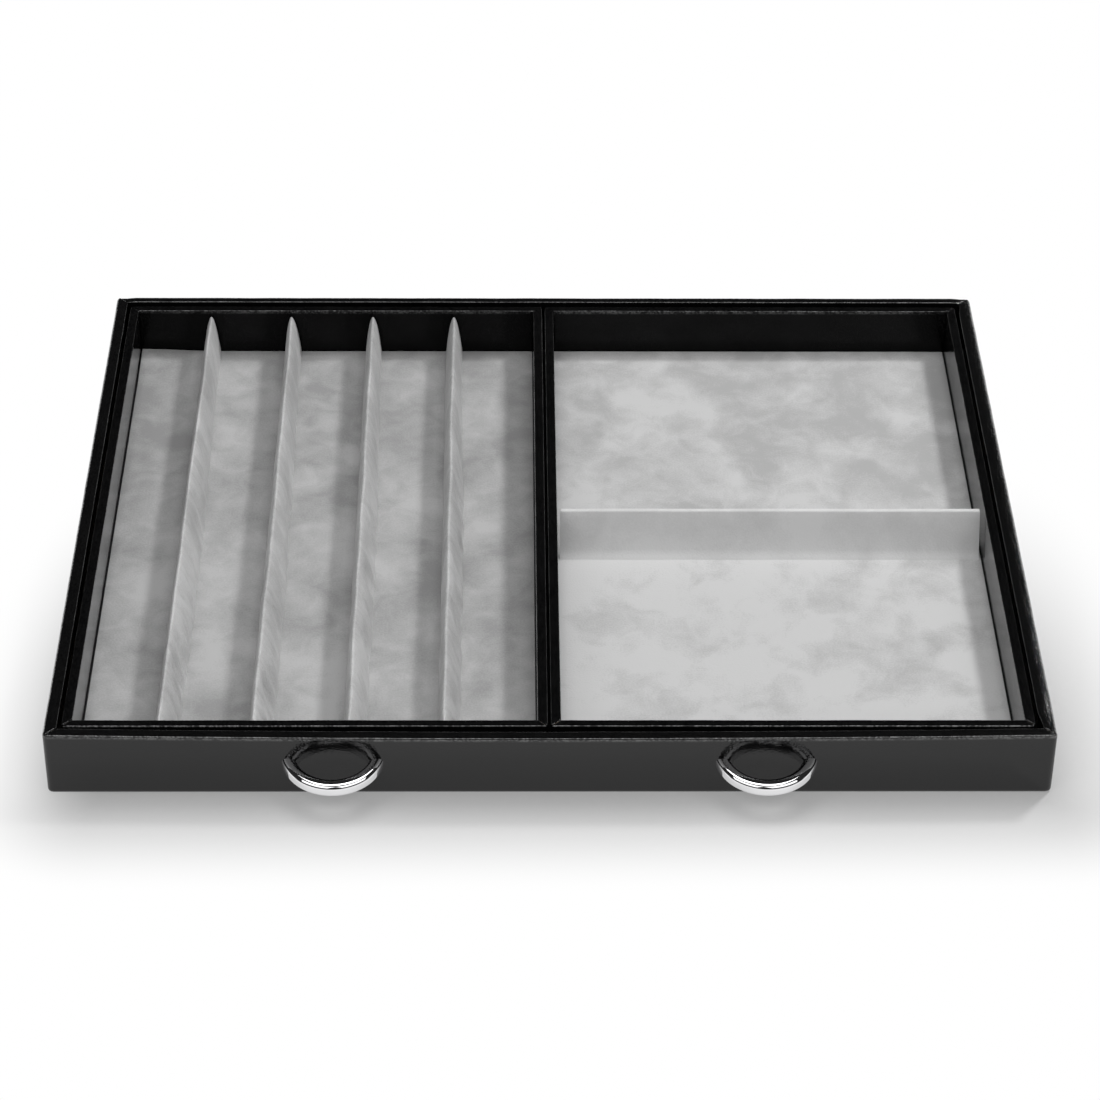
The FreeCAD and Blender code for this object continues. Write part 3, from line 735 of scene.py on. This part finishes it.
table_mesh = bmesh.new()
bmesh.ops.create_grid(table_mesh, x_segments=1, y_segments=1, size=TABLE_SIZE / 2 / MM)
paper = Finish("white table")
x = abs(paper.along_axis(0) - SHADE_MIDDLE)
y = paper.along_axis(1)
aside = (x - SHADE_SIDE).at_least(0) * SIDE_PACE
ahead = (SHADE_FRONT - y).at_least(0)
behind = (y - SHADE_BACK).at_least(0) * BACK_PACE
away = paper.node("CombineXYZ", inputs=[aside, ahead, behind])
reach = paper.node("VectorMath", {"operation": "LENGTH"}, [away], 1)
far_off = paper.node("MapRange", {"interpolation_type": "SMOOTHSTEP"}, {
    "Value": reach, "From Min": SHADE_FADE[0], "From Max": SHADE_FADE[1], "To Min": 0.2,
    "To Max": 1})
seen, mirrored = (paper.node("LightPath", output=ray) for ray in (0, 3))
# Painted glow: it lightens the table's shadow near the drawer, and glossy rays see it brighter, as
# a painted reflection.
bright = far_off * seen + (far_off * MIRROR_GAIN + MIRROR_BASE) * mirrored
white = paper.node("Emission", inputs={"Color": grey(1), "Strength": 1.0})
matt = paper.node("BsdfDiffuse", inputs={
    "Color": paper.mixed(paper.cloud(0.003), grey(0.49), grey(0.52))})
paper.node("OutputMaterial", inputs={
    "Surface": paper.node("MixShader", inputs=[bright, matt, white])})
table = finish_piece("table", table_mesh, paper.material)

# Lamps and room. A broad soft lamp hangs overhead, a smaller one at the back right gives the fins
# their shadows, and two soft boxes stand beside the camera. The room is dark but for a bright
# backdrop, low down round the back and the sides, which the leatherette and the pulls mirror.
BACKDROP_SIDES = (-0.35, -0.2)
BACKDROP_TOP = (0.12, 0.22)
ROOM_GLOW = 0.02


def lamp(name, place, width, height, power):
    """A soft box that faces the middle of the drawer."""
    light = bpy.data.lights.new(name, "AREA")
    light.shape = "RECTANGLE"
    light.size = width
    light.size_y = height
    light.energy = power
    box = bpy.data.objects.new(name, light)
    box.location = place
    box.rotation_euler = (Vector() - Vector(place)).to_track_quat("-Z", "Y").to_euler()
    bpy.context.scene.collection.objects.link(box)
    return box


lamp("overhead", (0, 0.15, 1.4), width=0.9, height=0.7, power=7.2)
right_lamp = lamp("right", (0.76, 0.59, 1.22), width=0.2, height=0.2, power=10.8)
for way in (-1, 1):
    lamp("beside_camera", (way * 0.6, -0.85, 0.95), width=1.1, height=0.9, power=4.5)

# The pulls are screened from the right lamp, so that they throw no ring on the table and carry no
# glint of it.
screened = bpy.data.collections.new("screened")
for side in ("left", "right"):
    screened.objects.link(bpy.data.objects[f"ring_pull_{side}_chrome"])
right_lamp.light_linking.blocker_collection = screened
right_lamp.light_linking.receiver_collection = screened
for item in screened.collection_objects:
    item.light_linking.link_state = "EXCLUDE"

room = Finish("room", kept_in=bpy.data.worlds)
gaze = room.node("TexCoord")
north, high = (room.node("SeparateXYZ", inputs=[gaze], output=axis) for axis in (1, 2))
backdrop = room.spread(north, 0, 1, *BACKDROP_SIDES) * room.spread(high, 1, 0, *BACKDROP_TOP)
backing = room.node("Background", inputs={"Color": grey(1), "Strength": backdrop + ROOM_GLOW})
room.node("OutputWorld", inputs={"Surface": backing})
bpy.context.scene.world = room.material
bpy.context.scene.view_settings.view_transform = "Standard"

# Camera. It stands about a metre in front of the drawer and looks down on it through a long lens,
# turned and rolled by less than a degree.
CAMERA_PLACE = Vector((-0.01468, -1.02417, 0.76806))
FOCAL_LENGTH = 109.71
PITCH = 0.64281
YAW = 0.01553
ROLL = 0.00967

level = math.cos(PITCH)
forward = Vector((math.sin(YAW) * level, math.cos(YAW) * level, -math.sin(PITCH)))
level_right = forward.cross(Vector((0, 0, 1))).normalized()
level_up = level_right.cross(forward)
right = level_right * math.cos(ROLL) + level_up * math.sin(ROLL)
up = level_up * math.cos(ROLL) - level_right * math.sin(ROLL)
camera_data = bpy.data.cameras.new("camera")
camera_data.sensor_width = 36
camera_data.lens = FOCAL_LENGTH
camera = bpy.data.objects.new("camera", camera_data)
turned = Matrix((right, up, -forward)).transposed()
camera.matrix_world = Matrix.Translation(CAMERA_PLACE) @ turned.to_4x4()
bpy.context.scene.collection.objects.link(camera)
bpy.context.scene.camera = camera
